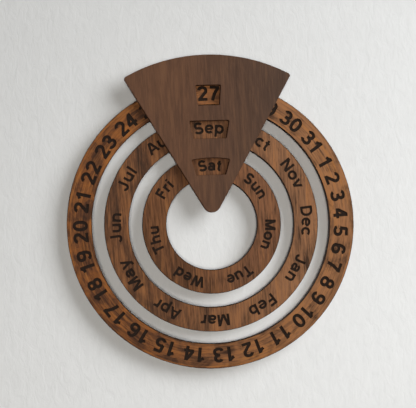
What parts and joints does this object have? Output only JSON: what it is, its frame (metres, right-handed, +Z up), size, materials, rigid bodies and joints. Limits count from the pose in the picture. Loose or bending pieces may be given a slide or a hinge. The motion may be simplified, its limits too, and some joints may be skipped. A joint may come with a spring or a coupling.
{
  "type": "perpetual wall calendar",
  "caption": "Perpetual wall calendar: concentric marked wooden rings turn behind a fan-shaped plate whose windows show the date, month and weekday.",
  "frame": {"origin": "middle of the keyhole hanger's round entry, on the hanger's rear face", "axes": "+X to the viewer's right, +Z up, +Y towards the wall; the dials face -Y and turn about an axis along Y, 149 mm below the origin"},
  "size_m": [0.3, 0.0258, 0.3256],
  "materials": {
    "plate_walnut": "oiled dark walnut with straight grain",
    "ring_walnut": "oiled warm walnut with engraved burnt marks",
    "carrier_walnut": "sawn and oiled walnut",
    "dowel_beech": "turned beech",
    "hanger_steel": "zinc-plated pressed steel",
    "screw_steel": "zinc-plated steel",
    "pad_felt": "pressed dark felt"
  },
  "bodies": {
    "carrier": {"front_plate": "plate_walnut", "back_plate": "carrier_walnut", "top_spacer": "carrier_walnut", "date_rail": "carrier_walnut", "month_rail": "carrier_walnut", "weekday_rail": "carrier_walnut", "top_spacer_dowels": "dowel_beech", "date_rail_dowels": "dowel_beech", "month_rail_dowels": "dowel_beech", "weekday_rail_dowel": "dowel_beech", "top_spacer_screws": "screw_steel", "date_rail_screws": "screw_steel", "month_rail_screws": "screw_steel", "weekday_rail_screw": "screw_steel", "hanger_plate": "hanger_steel", "hanger_screws": "screw_steel", "left_wall_pad": "pad_felt", "right_wall_pad": "pad_felt", "lower_wall_pad": "pad_felt"},
    "date_dial": {"date_ring": "ring_walnut"},
    "month_dial": {"month_ring": "ring_walnut"},
    "weekday_dial": {"weekday_ring": "ring_walnut"}
  },
  "joints": [
    {"name": "date_turn", "type": "hinge", "parent": "carrier", "child": "date_dial", "pos_m": [0, -0.0114, -0.149], "axis": [0, -1, 0], "continuous": true},
    {"name": "month_turn", "type": "hinge", "parent": "carrier", "child": "month_dial", "pos_m": [0, -0.0114, -0.149], "axis": [0, -1, 0], "continuous": true},
    {"name": "weekday_turn", "type": "hinge", "parent": "carrier", "child": "weekday_dial", "pos_m": [0, -0.0114, -0.149], "axis": [0, -1, 0], "continuous": true}
  ]
}
